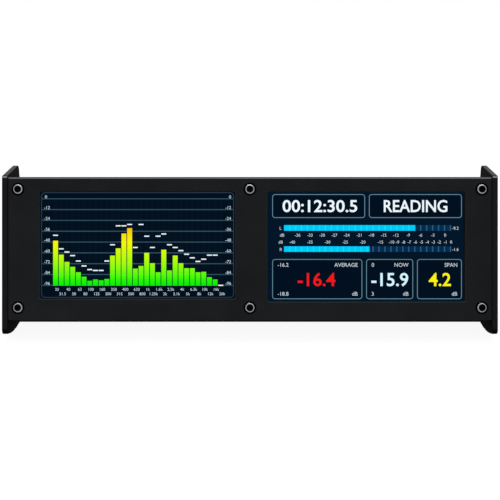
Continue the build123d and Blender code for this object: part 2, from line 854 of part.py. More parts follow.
for side, (display_x, display_y, window_width, window_height) in displays.items():
    driver_low = display_y + driver_rise - driver_height / 2
    socket_low = driver_low + upper_socket_rise - ribbon_socket_length / 2
    ribbon_x = ribbon_xs[side]
    bend_height = (ribbon_low_z - panel_z + ribbon_depth * sin(lean)) / cos(lean)
    with BuildPart() as ribbon:
        with BuildSketch(Plane.YZ.offset(ribbon_x)):
            with BuildLine():
                FilletPolyline(
                    panel_point(ribbon_depth, socket_low),
                    panel_point(ribbon_depth, bend_height),
                    (panel_point(ribbon_depth, bend_height)[0], ribbon_end_z),
                    radius=ribbon_bend,
                )
                offset(amount=ribbon_thickness, side=Side.LEFT)
            make_face()
        extrude(amount=ribbon_width / 2, both=True)
    ribbon.part.label = f"ribbon_{side}"
    export_step(ribbon.part, f"parts/ribbon_{side}.step")

with BuildPart() as ribbon_sockets:
    for side, (display_x, display_y, window_width, window_height) in displays.items():
        driver_low = display_y + driver_rise - driver_height / 2
        bend_height = (ribbon_low_z - panel_z + ribbon_depth * sin(lean)) / cos(lean)
        with BuildSketch(driver_back):
            with Locations((ribbon_xs[side], driver_low + upper_socket_rise)):
                Rectangle(ribbon_socket_width, ribbon_socket_length)
        extrude(amount=-ribbon_socket_height)
        with BuildSketch(Plane.XY.offset(board_top)):
            with Locations((ribbon_xs[side], panel_point(ribbon_depth, bend_height)[0])):
                Rectangle(ribbon_socket_width, ribbon_socket_height)
        extrude(amount=ribbon_socket_length)
ribbon_sockets.part.label = "ribbon_sockets"
export_step(ribbon_sockets.part, "parts/ribbon_sockets.step")

# Round sockets: a flanged shell, a core with the contact holes and a sliding release latch
mouth_radius = 9.7
mouth_depth = 14.0
core_radius = 7.8
core_recess = 1.0  # core's face behind the flange's face
collar_radius = 10.4
collar_thickness = 2.0
tail_radius = 5.5
core_clearance = 1.7  # core's rear end behind the right screen's bracket
plug_radius = 3.25
plug_floor = 1.5  # core left beyond the end of its plug bore
contact_radius = 1.35
contact_circle = 5.5
contact_depth = 10.0
contact_angles = (90, 210, 330)
shell_foot_width = 3.0
shell_foot_depth = 8.0
shell_foot_x = 6.5
shell_foot_inset = 9.0
latch_slot_width = 4.6
latch_slot_low = 10.0  # slot above the socket's axis
latch_slot_height = 1.3
latch_slot_depth = 10.0
latch_travel = 1.5
latch_stop = 0.1
latch_head_width = 7.4
latch_head_height = 4.0
latch_head_thickness = 1.4
latch_head_round = 0.8
latch_stem_reach = 7.5

stack_depth = panel_thickness + post_length + bracket_thickness
tail_top = socket_z + tail_radius
tail_room_y = panel_y + (stack_depth + (tail_top - panel_z) * sin(lean)) / cos(lean)
core_depth = rear_outer_y + flange_thickness - core_clearance - tail_room_y
plug_depth = core_depth - core_recess - plug_floor
flange_face = rear_face.offset(-flange_thickness)
latch_rest = latch_travel + latch_stop
latch_middle = latch_slot_low + latch_slot_height / 2

for name, socket_x in socket_xs.items():
    with BuildPart() as shell:
        with BuildSketch(rear_face):
            with Locations((socket_x, socket_z)):
                RectangleRounded(flange_width, flange_height, flange_corner)
        extrude(amount=-flange_thickness)
        with BuildSketch(rear_face):
            with Locations((socket_x, socket_z)):
                Circle(barrel_radius)
        extrude(amount=barrel_depth)
        with BuildSketch(Plane.XY.offset(board_top)):
            with Locations(
                (socket_x - shell_foot_x, rear_outer_y - shell_foot_inset - shell_foot_depth / 2),
                (socket_x + shell_foot_x, rear_outer_y - shell_foot_inset - shell_foot_depth / 2),
            ):
                Rectangle(shell_foot_width, shell_foot_depth)
        extrude(amount=socket_z - board_top - core_radius)
        with BuildSketch(flange_face):
            with Locations((socket_x, socket_z)):
                Circle(mouth_radius)
        extrude(amount=mouth_depth, mode=Mode.SUBTRACT)
        with BuildSketch(rear_face):
            with Locations((socket_x, socket_z)):
                Circle(core_radius)
        extrude(amount=barrel_depth, mode=Mode.SUBTRACT)
        with BuildSketch(flange_face):
            with Locations((socket_x, socket_z + latch_middle)):
                Rectangle(latch_slot_width, latch_slot_height)
        extrude(amount=latch_slot_depth, mode=Mode.SUBTRACT)
        with BuildSketch(flange_face):
            with Locations(
                (socket_x - flange_screw_x, socket_z + flange_screw_z),
                (socket_x + flange_screw_x, socket_z - flange_screw_z),
            ):
                Circle(screw_hole_radius)
        extrude(amount=flange_thickness, mode=Mode.SUBTRACT)
    shell.part.label = f"{name}_shell"
    export_step(shell.part, f"parts/{name}_shell.step")

    core_face = flange_face.offset(core_recess)
    with BuildPart() as core:
        with BuildSketch(core_face):
            with Locations((socket_x, socket_z)):
                Circle(core_radius)
        extrude(amount=flange_thickness + barrel_depth - core_recess)
        with BuildSketch(rear_face.offset(barrel_depth)):
            with Locations((socket_x, socket_z)):
                Circle(collar_radius)
        extrude(amount=collar_thickness)
        if name != "digital":
            with BuildSketch(rear_face.offset(barrel_depth)):
                with Locations((socket_x, socket_z)):
                    Circle(tail_radius)
            extrude(amount=core_depth - flange_thickness - barrel_depth)
            with BuildSketch(core_face):
                with Locations((socket_x, socket_z)):
                    Circle(plug_radius)
            extrude(amount=plug_depth, mode=Mode.SUBTRACT)
        with BuildSketch(core_face):
            with Locations((socket_x, socket_z)):
                for angle in contact_angles:
                    reach = Vector(contact_circle, 0).rotate(Axis.Z, angle)
                    with Locations(reach):
                        Circle(contact_radius)
        extrude(amount=contact_depth, mode=Mode.SUBTRACT)
    core.part.label = f"{name}_core"
    export_step(core.part, f"parts/{name}_core.step")

    head_back = flange_face.offset(-latch_rest)
    with BuildPart() as latch:
        with BuildSketch(head_back):
            with Locations((socket_x, socket_z + latch_slot_low + latch_head_height / 2)):
                RectangleRounded(latch_head_width, latch_head_height, latch_head_round)
        extrude(amount=-latch_head_thickness)
        with BuildSketch(head_back):
            with Locations((socket_x, socket_z + latch_middle)):
                Rectangle(latch_slot_width - 2 * slip, latch_slot_height - 2 * slip)
        extrude(amount=latch_rest + latch_stem_reach)
    latch.part.label = f"{name}_latch"
    export_step(latch.part, f"parts/{name}_latch.step")

flange_screw_face = Plane(
    origin=(0, rear_outer_y + flange_thickness, 0), x_dir=(-1, 0, 0), z_dir=(0, 1, 0)
)
socket_screws = dome_screws(
    flange_screw_face,
    [(-x, z) for x, z in flange_spots],
    flange_thickness + rear_thickness + nut_height,
)
socket_screws.part.label = "socket_screws"
export_step(socket_screws.part, "parts/socket_screws.step")

socket_nuts = press_nuts(rear_back, flange_spots)
socket_nuts.part.label = "socket_nuts"
export_step(socket_nuts.part, "parts/socket_nuts.step")

# Data port: a drawn metal shell round a flat tongue
usb_proud = 0.4
tongue_width = 6.6
tongue_height = 0.7
tongue_recess = 1.2
usb_back_wall = 0.8
usb_mouth = rear_face.offset(-usb_proud)
usb_inner = usb_depth - usb_back_wall

with BuildPart() as usb_shell:
    with BuildSketch(usb_mouth):
        with Locations((usb_x, usb_z)):
            SlotOverall(usb_width, usb_height)
    extrude(amount=usb_depth)
    with BuildSketch(usb_mouth):
        with Locations((usb_x, usb_z)):
            SlotOverall(usb_width - 2 * usb_wall, usb_height - 2 * usb_wall)
    extrude(amount=usb_inner, mode=Mode.SUBTRACT)
usb_shell.part.label = "usb_shell"
export_step(usb_shell.part, "parts/usb_shell.step")

with BuildPart() as usb_tongue:
    with BuildSketch(usb_mouth.offset(tongue_recess)):
        with Locations((usb_x, usb_z)):
            Rectangle(tongue_width, tongue_height)
    extrude(amount=usb_inner - tongue_recess)
usb_tongue.part.label = "usb_tongue"
export_step(usb_tongue.part, "parts/usb_tongue.step")

# Power inlet: a moulded block with a round snout and a centre pin
inlet_pin_recess = 1.5
with BuildPart() as dc_inlet:
    with BuildSketch(rear_back):
        with Locations((inlet_x, board_top + inlet_height / 2)):
            Rectangle(inlet_width, inlet_height)
    extrude(amount=inlet_depth)
    with BuildSketch(rear_face):
        with Locations((inlet_x, inlet_z)):
            Circle(inlet_snout_radius)
    extrude(amount=rear_thickness)
    with BuildSketch(rear_face):
        with Locations((inlet_x, inlet_z)):
            Circle(inlet_bore_radius)
    extrude(amount=inlet_bore_depth, mode=Mode.SUBTRACT)
dc_inlet.part.label = "dc_inlet"
export_step(dc_inlet.part, "parts/dc_inlet.step")

with BuildPart() as dc_pin:
    with BuildSketch(rear_face.offset(inlet_pin_recess)):
        with Locations((inlet_x, inlet_z)):
            Circle(inlet_pin_radius)
    extrude(amount=inlet_bore_depth - inlet_pin_recess)
dc_pin.part.label = "dc_pin"
export_step(dc_pin.part, "parts/dc_pin.step")

# Power switch: a snap-in frame with a rocker on two trunnions
pocket_width = 10.6
pocket_height = 16.6
pocket_depth = 7.0
pivot_depth = 2.2  # pivot behind the bezel's face
trunnion_radius = 1.2
trunnion_length = 0.9
trunnion_slip = 0.05
rocker_width = 10.2
rocker_half = 7.6
rocker_crest = 1.0
rocker_horn = 3.0
rocker_shoulder = 6.4
rocker_shoulder_depth = 1.0
rocker_belly = 3.2
rocker_belly_half = 2.5
rocker_round = 0.5
rocker_lean = 9.0  # rocker at rest, its upper end pressed in
pivot_y = rear_outer_y + bezel_thickness - pivot_depth

with BuildPart() as switch_frame:
    with BuildSketch(rear_face):
        with Locations((switch_x, switch_z)):
            RectangleRounded(bezel_width, bezel_height, bezel_corner)
    extrude(amount=-bezel_thickness)
    with BuildSketch(rear_face):
        with Locations((switch_x, switch_z)):
            Rectangle(switch_body_width, switch_body_height)
    extrude(amount=switch_body_depth)
    with BuildSketch(rear_face.offset(-bezel_thickness)):
        with Locations((switch_x, switch_z)):
            Rectangle(pocket_width, pocket_height)
    extrude(amount=pocket_depth, mode=Mode.SUBTRACT)
    with BuildSketch(Plane.YZ.offset(switch_x)):
        with Locations((pivot_y, switch_z)):
            Circle(trunnion_radius + trunnion_slip)
    extrude(amount=pocket_width / 2 + trunnion_length, both=True, mode=Mode.SUBTRACT)
switch_frame.part.label = "switch_frame"
export_step(switch_frame.part, "parts/switch_frame.step")

rocker_swing = radians(rocker_lean)
rocker_plane = Plane(
    origin=(switch_x, pivot_y, switch_z),
    x_dir=(0, cos(rocker_swing), sin(rocker_swing)),
    z_dir=(1, 0, 0),
)
with BuildPart() as power_rocker:
    with BuildSketch(rocker_plane):
        with BuildLine():
            FilletPolyline(
                (rocker_crest, 0),
                (rocker_horn, rocker_half),
                (-rocker_shoulder_depth, rocker_shoulder),
                (-rocker_belly, rocker_belly_half),
                (-rocker_belly, -rocker_belly_half),
                (-rocker_shoulder_depth, -rocker_shoulder),
                (rocker_horn, -rocker_half),
                radius=rocker_round,
                close=True,
            )
        make_face()
    extrude(amount=rocker_width / 2, both=True)
    with BuildSketch(rocker_plane):
        Circle(trunnion_radius)
    extrude(amount=pocket_width / 2 + trunnion_length - slip, both=True)
power_rocker.part.label = "power_rocker"
export_step(power_rocker.part, "parts/power_rocker.step")

# Two leads from the switch down to the main board
lead_radius = 0.8
lead_pitch = 6.0
lead_reach = 6.0
lead_bend = 3.0
lead_start_y = rear_outer_y - switch_body_depth
with BuildPart() as switch_leads:
    for lead_x in (switch_x - lead_pitch / 2, switch_x + lead_pitch / 2):
        with BuildLine(Plane.YZ.offset(lead_x)) as route:
            FilletPolyline(
                (lead_start_y, switch_z),
                (lead_start_y - lead_reach, switch_z),
                (lead_start_y - lead_reach, board_top),
                radius=lead_bend,
            )
        with BuildSketch(Plane.XZ.offset(-lead_start_y)):
            with Locations((lead_x, switch_z)):
                Circle(lead_radius)
        sweep(path=route.wires()[0])
switch_leads.part.label = "switch_leads"
export_step(switch_leads.part, "parts/switch_leads.step")
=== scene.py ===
import json
from math import cos, pi, radians, sin

import bpy
import numpy as np
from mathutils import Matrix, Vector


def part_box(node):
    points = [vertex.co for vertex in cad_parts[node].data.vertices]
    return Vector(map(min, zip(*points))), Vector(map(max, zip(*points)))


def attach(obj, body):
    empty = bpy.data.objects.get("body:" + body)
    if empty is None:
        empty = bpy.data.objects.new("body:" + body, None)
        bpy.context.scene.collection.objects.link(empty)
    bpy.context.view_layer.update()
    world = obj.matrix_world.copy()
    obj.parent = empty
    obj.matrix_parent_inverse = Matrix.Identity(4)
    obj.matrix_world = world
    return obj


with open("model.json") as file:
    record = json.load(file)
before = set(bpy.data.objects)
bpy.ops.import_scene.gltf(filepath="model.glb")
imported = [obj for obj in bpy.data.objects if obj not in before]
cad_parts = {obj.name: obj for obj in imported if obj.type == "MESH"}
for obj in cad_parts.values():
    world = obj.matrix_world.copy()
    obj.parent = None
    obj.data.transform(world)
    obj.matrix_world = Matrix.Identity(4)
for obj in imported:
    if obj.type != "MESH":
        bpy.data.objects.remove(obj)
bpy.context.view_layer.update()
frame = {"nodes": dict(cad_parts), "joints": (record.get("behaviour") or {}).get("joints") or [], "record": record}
scene = bpy.context.scene
nodes = frame["nodes"]
print("frame loaded:", len(nodes), "nodes")

mm = 0.001
panel = dict(tilt=18.0, y=-13.0986, z=50.1992, top=40.57)  # the front's lean, middle and half height, in mm
windows = dict(left=(-63.05, 2.35, 109.3, 60.0), right=(65.15, 1.5, 110.7, 61.5))  # middle, width, height


# a point of the panel: x across, up along its lean, depth behind its face, turned into the frame
def onPanel(x, up, depth):
    x, up, depth = np.broadcast_arrays(*[np.asarray(value, float) for value in (x, up, depth)])
    lean = radians(panel["tilt"])
    y = panel["y"] + depth * cos(lean) + up * sin(lean)
    z = panel["z"] - depth * sin(lean) + up * cos(lean)
    return np.stack([x, y, z], axis=-1) * mm


# display colour 0-255 to linear light, by the display's own curve
def linear(rgb):
    share = np.asarray(rgb, float) / 255
    return tuple(np.where(share <= 0.04045, share / 12.92, ((share + 0.055) / 1.055) ** 2.4)) + (1.0,)


# a piece from points and faces, riding on a body and given one finish
def piece(name, points, faces, finish, body="chassis", smooth=False):
    mesh = bpy.data.meshes.new(name)
    mesh.from_pydata(np.asarray(points).reshape(-1, 3).tolist(), [], [list(face) for face in faces])
    mesh.materials.append(finish)
    mesh.polygons.foreach_set("use_smooth", np.full(len(mesh.polygons), smooth))
    mesh.update()
    obj = bpy.data.objects.new(name, mesh)
    scene.collection.objects.link(obj)
    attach(obj, body)
    return obj


# quads of a grid of points, rows by columns, closed round where asked
def gridFaces(rows, cols, wrapCols=False):
    row, col = np.meshgrid(np.arange(rows - 1), np.arange(cols if wrapCols else cols - 1), indexing="ij")
    start, col = row.ravel() * cols, col.ravel()
    after = (col + 1) % cols
    return np.stack([start + col, start + cols + col, start + cols + after, start + after], axis=1)


# finishes

# an empty finish with one shader on its outlet
def newFinish(name):
    finish = bpy.data.materials.new(name)
    finish.use_nodes = True
    tree = finish.node_tree
    tree.nodes.clear()
    out = tree.nodes.new("ShaderNodeOutputMaterial")
    shader = tree.nodes.new("ShaderNodeBsdfPrincipled")
    tree.links.new(shader.outputs[0], out.inputs[0])
    return finish, tree, shader


# sets a socket to a value, or joins another node's outlet to it
def feed(tree, socket, value):
    if isinstance(value, bpy.types.NodeSocket):
        tree.links.new(value, socket)
    else:
        socket.default_value = value


# a node with its settings and its sockets, both by name
def addNode(tree, kind, settings=None, **sockets):
    node = tree.nodes.new("ShaderNode" + kind)
    for name, value in (settings or {}).items():
        setattr(node, name, value)
    for name, value in sockets.items():
        feed(tree, node.inputs[name.replace("_", " ")], value)
    return node


# a sum on one to three values, each a number or an outlet
def addMath(tree, operation, *values):
    node = addNode(tree, "Math", dict(operation=operation))
    for socket, value in zip(node.inputs, values):
        feed(tree, socket, value)
    return node.outputs[0]


# length of a step across and up: the root of its squares added
def addLength(tree, across, up):
    squares = [addMath(tree, "MULTIPLY", side, side) for side in (across, up)]
    return addMath(tree, "SQRT", addMath(tree, "ADD", *squares))


# colours along a factor, each at its own stop
def addRamp(tree, factor, stops):
    ramp = addNode(tree, "ValToRGB", Fac=factor)
    ends = ramp.color_ramp.elements
    ends[0].position, ends[0].color = stops[0][0], linear(stops[0][1])
    ends[1].position, ends[1].color = stops[-1][0], linear(stops[-1][1])
    for position, rgb in stops[1:-1]:
        ends.new(position).color = linear(rgb)
    return ramp.outputs["Color"]


# a factor from 0 to 1, carried between two values
def addSpread(tree, factor, low, high):
    return addNode(tree, "MapRange", Value=factor, To_Min=low, To_Max=high).outputs["Result"]


# a value's share of the way from low to high, held between 0 and 1; the two may stand either way round
def addStep(tree, value, low, high):
    return addNode(tree, "MapRange", Value=value, From_Min=low, From_Max=high).outputs["Result"]


# cloudy noise over a place
def addNoise(tree, place, scale, detail):
    return addNode(tree, "TexNoise", Vector=place, Scale=scale, Detail=detail).outputs["Fac"]


# a point's place in the frame, since every piece sits at the origin
def framePlace(tree):
    return addNode(tree, "TexCoord").outputs["Object"]


# where on the panel a point lies, in millimetres: its place less the panel's middle, with the lean undone
def panelPlace(tree):
    moved = addNode(tree, "VectorMath", dict(operation="SUBTRACT"))
    tree.links.new(framePlace(tree), moved.inputs[0])
    moved.inputs[1].default_value = (0, panel["y"] * mm, panel["z"] * mm)
    lean = (radians(panel["tilt"]), 0, 0)
    turned = addNode(tree, "Mapping", Vector=moved.outputs[0], Rotation=lean, Scale=(1 / mm,) * 3)
    return turned.outputs["Vector"]


# the same place as three outlets: across, depth and up
def panelAxes(tree):
    return addNode(tree, "SeparateXYZ", Vector=panelPlace(tree)).outputs


# what a finish has where its own row says nothing else
plainLook = dict(stretch=(1, 1, 1), mottleDetail=4.0, grainDetail=3.0, toneEnds=(0.3, 0.7), lift=0.25,
                 height=0.04, metal=0, shine=0.5)


# a worked surface: two tones mottled together, a fine grain that lifts it, and a gloss that follows it
def surface(name, ownLook):
    look = dict(plainLook, **ownLook)
    finish, tree, shader = newFinish(name)
    place = framePlace(tree)
    drawn = addNode(tree, "Mapping", Vector=place, Scale=look["stretch"]).outputs["Vector"]
    mottle = addNoise(tree, place, look["mottle"], look["mottleDetail"])
    grain = addNoise(tree, drawn, look["grain"], look["grainDetail"])
    lift = addNode(tree, "Bump", Strength=look["lift"], Distance=look["height"] * mm, Height=grain)
    toneStops = list(zip(look["toneEnds"], look["tones"]))
    feed(tree, shader.inputs["Base Color"], addRamp(tree, mottle, toneStops))
    feed(tree, shader.inputs["Roughness"], addSpread(tree, grain, *look["rough"]))
    feed(tree, shader.inputs["Normal"], lift.outputs["Normal"])
    feed(tree, shader.inputs["Metallic"], look["metal"])
    feed(tree, shader.inputs["Specular IOR Level"], look["shine"])
    return finish, tree, shader


# tones are display colours, mottle and grain are noise scales to the metre, rough runs with the grain
finishes = dict(
    panel_paint=dict(tones=((26, 27, 29), (32, 34, 36)), mottle=40, grain=5200,
                     rough=(0.5, 0.7), shine=0.03, lift=0.3),
    plate_paint=dict(tones=((25, 24, 26), (30, 29, 32)), mottle=45, grain=4600,
                     rough=(0.6, 0.72), shine=0.03, lift=0.2),
    sheet_paint=dict(tones=((20, 20, 21), (26, 26, 27)), mottle=50, grain=4200,
                     rough=(0.5, 0.68), shine=0.15, lift=0.3),
    black_screw=dict(tones=((22, 22, 23), (30, 30, 31)), mottle=700, grain=2600,
                     rough=(0.28, 0.42), lift=0.1),
    plain_steel=dict(tones=((165, 167, 170), (190, 192, 195)), mottle=400, grain=900, stretch=(1, 1, 14),
                     rough=(0.25, 0.4), metal=1, lift=0.1),
    foot_rubber=dict(tones=((16, 16, 17), (24, 24, 25)), mottle=300, grain=1500,
                     rough=(0.75, 0.92), shine=0.3, lift=0.4, height=0.1),
    gasket_foam=dict(tones=((6, 6, 6), (12, 12, 12)), mottle=900, grain=2200,
                     rough=(0.85, 0.98), shine=0.1, lift=0.6, height=0.1),
    screen_picture=dict(tones=((5, 7, 9), (8, 10, 12)), mottle=200, grain=1800,
                        rough=(0.4, 0.55), shine=0.1, lift=0.05),
    circuit_board=dict(tones=((14, 60, 38), (20, 78, 50)), mottle=260, grain=700,
                       rough=(0.3, 0.5), shine=0.4),
    sink_metal=dict(tones=((150, 153, 156), (176, 179, 182)), mottle=200, grain=600, stretch=(1, 0.05, 1),
                    rough=(0.32, 0.48), metal=1, lift=0.2),
    capacitor_sleeve=dict(tones=((18, 22, 40), (26, 30, 54)), mottle=300, grain=1500,
                          rough=(0.2, 0.35), lift=0.1),
    chip_black=dict(tones=((18, 18, 18), (26, 26, 26)), mottle=500, grain=2400,
                    rough=(0.55, 0.75), shine=0.3),
    ribbon_film=dict(tones=((206, 206, 198), (222, 222, 214)), mottle=200, grain=900, stretch=(30, 1, 1),
                     rough=(0.4, 0.55), lift=0.15),
    socket_metal=dict(tones=((22, 22, 23), (30, 30, 31)), mottle=200, grain=2600,
                      rough=(0.4, 0.55), shine=0.2, lift=0.3),
    socket_core=dict(tones=((15, 15, 15), (21, 21, 21)), mottle=300, grain=2400,
                     rough=(0.5, 0.68), shine=0.2),
    latch_metal=dict(tones=((172, 172, 174), (196, 196, 198)), mottle=300, grain=900, stretch=(14, 1, 1),
                     rough=(0.2, 0.36), metal=1, lift=0.12),
    port_metal=dict(tones=((182, 182, 184), (206, 206, 208)), mottle=300, grain=1200, stretch=(1, 12, 1),
                    rough=(0.14, 0.28), metal=1, lift=0.08),
    contact_brass=dict(tones=((196, 150, 74), (222, 180, 98)), mottle=400, grain=1500,
                       rough=(0.18, 0.3), metal=1, lift=0.08),
    switch_black=dict(tones=((17, 17, 17), (23, 23, 23)), mottle=200, grain=3200,
                      rough=(0.5, 0.66), shine=0.25, lift=0.35),
    rocker_black=dict(tones=((14, 14, 15), (19, 19, 20)), mottle=150, grain=1500,
                      rough=(0.2, 0.32), shine=0.35, lift=0.06),
    lead_red=dict(tones=((150, 20, 16), (172, 28, 22)), mottle=200, grain=900,
                  rough=(0.4, 0.55), lift=0.1),
)
made = {slotName: surface(slotName, look) for slotName, look in finishes.items()}
finishOf = {slotName: parts[0] for slotName, parts in made.items()}

screwSpots = dict(column=129.66, rowMiddle=0.55, rowHalf=33.12)  # front screws: pitch across, and two rows


# how far across and up a point lies from the nearest front screw: its place wrapped round their pitch
def screwOffset(tree, place):
    halfColumn, halfRow = screwSpots["column"] / 2, screwSpots["rowHalf"]
    fromRow = addMath(tree, "SUBTRACT", place["Z"], screwSpots["rowMiddle"] + halfRow)
    return (addMath(tree, "WRAP", place["X"], halfColumn, -halfColumn),
            addMath(tree, "WRAP", fromRow, halfRow, -halfRow))


# distance outside the nearest window: the larger of how far a point lies past its sides and past its ends
def windowDistance(tree, place):
    nearest = None
    for x, up, width, height in windows.values():
        across = addMath(tree, "ABSOLUTE", addMath(tree, "SUBTRACT", place["X"], x))
        along = addMath(tree, "ABSOLUTE", addMath(tree, "SUBTRACT", place["Z"], up))
        past = addMath(tree, "MAXIMUM", addMath(tree, "SUBTRACT", across, width / 2),
                       addMath(tree, "SUBTRACT", along, height / 2))
        nearest = past if nearest is None else addMath(tree, "MINIMUM", nearest, past)
    return nearest


# lays a second tone over a finish, by a mask from 0 to 1
def layOver(tree, shader, mask, rgb):
    mix = addNode(tree, "Mix", dict(data_type="RGBA"))
    under, over, mixed = mix.inputs[6], mix.inputs[7], mix.outputs[2]  # the node's sockets for colours
    feed(tree, mix.inputs[0], mask)
    feed(tree, under, shader.inputs["Base Color"].links[0].from_socket)
    feed(tree, over, linear(rgb))
    feed(tree, shader.inputs["Base Color"], mixed)


# front panel: a painted highlight along the upper arris, painted shade along the lower one, the ends and the
# windows' edges a little lighter, and painted shade in the screw pockets
panelLook = dict(
    arris=(39.45, 40.25), arrisTone=(94, 94, 97), sill=1.1, sillTone=(3, 3, 4),
    half=135.53, end=0.9, endTone=(41, 41, 43), window=0.55, windowTone=(38, 39, 41),
    pocket=3.7, pocketTone=(4, 4, 5), blend=0.12,
)
look = panelLook
tree, shader = made["panel_paint"][1:]
place = panelAxes(tree)
up, soft = place["Z"], look["blend"]
arrisHighlight = addMath(tree, "MULTIPLY", addStep(tree, up, look["arris"][0], look["arris"][0] + soft),
                 addStep(tree, up, look["arris"][1], look["arris"][1] - soft))
endEdge, sillEdge = look["half"] - look["end"], look["sill"] - panel["top"]
ends = addStep(tree, addMath(tree, "ABSOLUTE", place["X"]), endEdge, endEdge + soft)
rims = addStep(tree, windowDistance(tree, place), look["window"], look["window"] - soft)
sill = addStep(tree, up, sillEdge, sillEdge - soft)
pocket = addStep(tree, addLength(tree, *screwOffset(tree, place)), look["pocket"], look["pocket"] - soft)
# lays the lighter ends and rims, the painted highlight on the arris and the painted shade of sill and pockets
for mask, tone in ((ends, "endTone"), (rims, "windowTone"), (arrisHighlight, "arrisTone"), (sill, "sillTone"),
                   (pocket, "pocketTone")):
    layOver(tree, shader, mask, look[tone])

# side plates: dead matt but for the level tops, which carry a painted sheen, with painted shade on the lip at
# their front, a painted highlight line across the front just under it, painted shade on the inner faces, and
# painted shade under the box and towards the sole
plateLook = dict(
    matt=0.97, facing=(0.25, 0.7), front=(0.8, 0.9), top=(0.9, 0.97), topTone=(60, 60, 61),
    lip=(41.62, 41.5), lipTone=(32, 32, 33),
    brow=(40.0, 40.15), browEnd=(41.0, 40.9), browTone=(150, 150, 152),
    inward=(-0.7, -0.95), inwardTone=(21, 21, 22), shade=(-40.3, -40.9), shadeTone=(3, 3, 4),
    sole=(-43.8, -45.6), soleTone=(6, 6, 7),
)
look = plateLook
tree, shader = made["plate_paint"][1:]
facing = addNode(tree, "SeparateXYZ", Vector=addNode(tree, "NewGeometry").outputs["True Normal"]).outputs
place = panelAxes(tree)
up = place["Z"]
satin = shader.inputs["Roughness"].links[0].from_socket
upward = addStep(tree, facing["Z"], *look["facing"])
feed(tree, shader.inputs["Roughness"], addSpread(tree, upward, look["matt"], satin))
level = addStep(tree, facing["Z"], *look["top"])
lip = addMath(tree, "MULTIPLY", level, addStep(tree, up, *look["lip"]))
forward = addStep(tree, addMath(tree, "MULTIPLY", facing["Y"], -1.0), *look["front"])
band = addMath(tree, "MULTIPLY", addStep(tree, up, *look["brow"]), addStep(tree, up, *look["browEnd"]))
brow = addMath(tree, "MULTIPLY", forward, band)
outward = addMath(tree, "MULTIPLY", facing["X"], addMath(tree, "SIGN", place["X"]))
inward = addStep(tree, outward, *look["inward"])
shade = addMath(tree, "MULTIPLY", inward, addStep(tree, up, *look["shade"]))
sole = addStep(tree, up, *look["sole"])
# lays the painted sheen, the painted highlight line and the painted shade over the paint
for mask, tone in ((level, "topTone"), (lip, "lipTone"), (brow, "browTone"), (inward, "inwardTone"),
                   (sole, "soleTone"), (shade, "shadeTone")):
    layOver(tree, shader, mask, look[tone])

# front screws: black oxide with a painted reflection ringing the crown, and painted shade in the key socket and
# down the flank
crownLook = dict(
    base=dict(finishes["black_screw"], metal=1, rough=(0.3, 0.45)), reach=4.0,
    stops=((0.0, (5, 5, 5)), (0.48, (8, 8, 8)), (0.52, (150, 150, 152)), (0.61, (158, 158, 160)),
           (0.66, (6, 6, 6))),
)
look = crownLook
crownFinish, tree, shader = surface("crown_painted_light", look["base"])
away = addLength(tree, *screwOffset(tree, panelAxes(tree)))
outShare = addMath(tree, "DIVIDE", away, look["reach"])
feed(tree, shader.inputs["Base Color"], addRamp(tree, outShare, look["stops"]))

# cover glass: clear, with an anti-reflex coat and a trace of wiping
glassLook = dict(tint=(252, 254, 255), bend=1.001, wiped=(0.0, 0.03), smear=35, smearDetail=3.0)
look = glassLook
finishOf["cover_glass"], tree, shader = newFinish("cover_glass")
feed(tree, shader.inputs["Base Color"], linear(look["tint"]))
feed(tree, shader.inputs["IOR"], look["bend"])
feed(tree, shader.inputs["Transmission Weight"], 1.0)
smear = addNoise(tree, framePlace(tree), look["smear"], look["smearDetail"])
feed(tree, shader.inputs["Roughness"], addSpread(tree, smear, *look["wiped"]))

slotOf = {row["node"]: row["material_slot"] for row in frame["record"]["subparts"]}
for nodeName, obj in nodes.items():
    obj.data.materials.clear()
    obj.data.materials.append(crownFinish if nodeName == "front_screws" else finishOf[slotOf[nodeName]])
print("finishes laid on the CAD nodes:", len(finishOf) + 1)


# lit pictures, in millimetres from the middle of each picture

layers = dict(ground=3.83, inset=3.80, rule=3.77, bar=3.74, line=3.72, mark=3.68)  # depths behind the face
dots = dict(pitch=0.23, light=(0.8, 1.2), uneven=28.0, unevenDetail=2.0, drift=(0.9, 1.1))
waveTurn = 20  # radians that a wave texture turns through in one unit of its scaled place


# picture light: a colour times dots in rows and columns, times the slow drift of the light behind them
def pictureLight(name, rgb=None, climb=None):
    finish, tree, shader = newFinish(name)
    feed(tree, shader.inputs["Base Color"], (0, 0, 0, 1))
    feed(tree, shader.inputs["Specular IOR Level"], 0)
    feed(tree, shader.inputs["Emission Strength"], 1)
    place = panelPlace(tree)
    uneven = addNoise(tree, framePlace(tree), dots["uneven"], dots["unevenDetail"])
    light = addSpread(tree, uneven, *dots["drift"])
    for direction in ("X", "Z"):
        scale = 2 * pi / (waveTurn * dots["pitch"])
        wave = addNode(tree, "TexWave", dict(bands_direction=direction), Vector=place, Scale=scale)
        light = addMath(tree, "MULTIPLY", light, addSpread(tree, wave.outputs["Fac"], *dots["light"]))
    tinted = addNode(tree, "VectorMath", dict(operation="SCALE"), Scale=light)
    if climb:
        level = addNode(tree, "Attribute", dict(attribute_name="level"))
        feed(tree, tinted.inputs[0], addRamp(tree, level.outputs["Fac"], climb))
    else:
        feed(tree, tinted.inputs[0], linear(rgb)[:3])
    feed(tree, shader.inputs["Emission Color"], tinted.outputs[0])
    return finish


# left, low, right and high sides of some bars, each an array or one number for all of them
def sides(left, low, right, high):
    return np.stack(np.broadcast_arrays(left, low, right, high), 1)


# flat bars from their sides: four corners each, and a level at the upper two where it climbs
def bars(name, centre, rows, layer, light, level=None):
    left, low, right, high = np.asarray(rows, float).reshape(-1, 4).T
    x = centre[0] + np.stack([left, right, right, left], 1)
    up = centre[1] + np.stack([low, low, high, high], 1)
    obj = piece(name, onPanel(x, up, layers[layer]), np.arange(x.size).reshape(-1, 4), light)
    if level is not None:
        values = np.stack([0 * level, 0 * level, level, level], 1).ravel()
        obj.data.attributes.new("level", "FLOAT", "POINT").data.foreach_set("value", values)


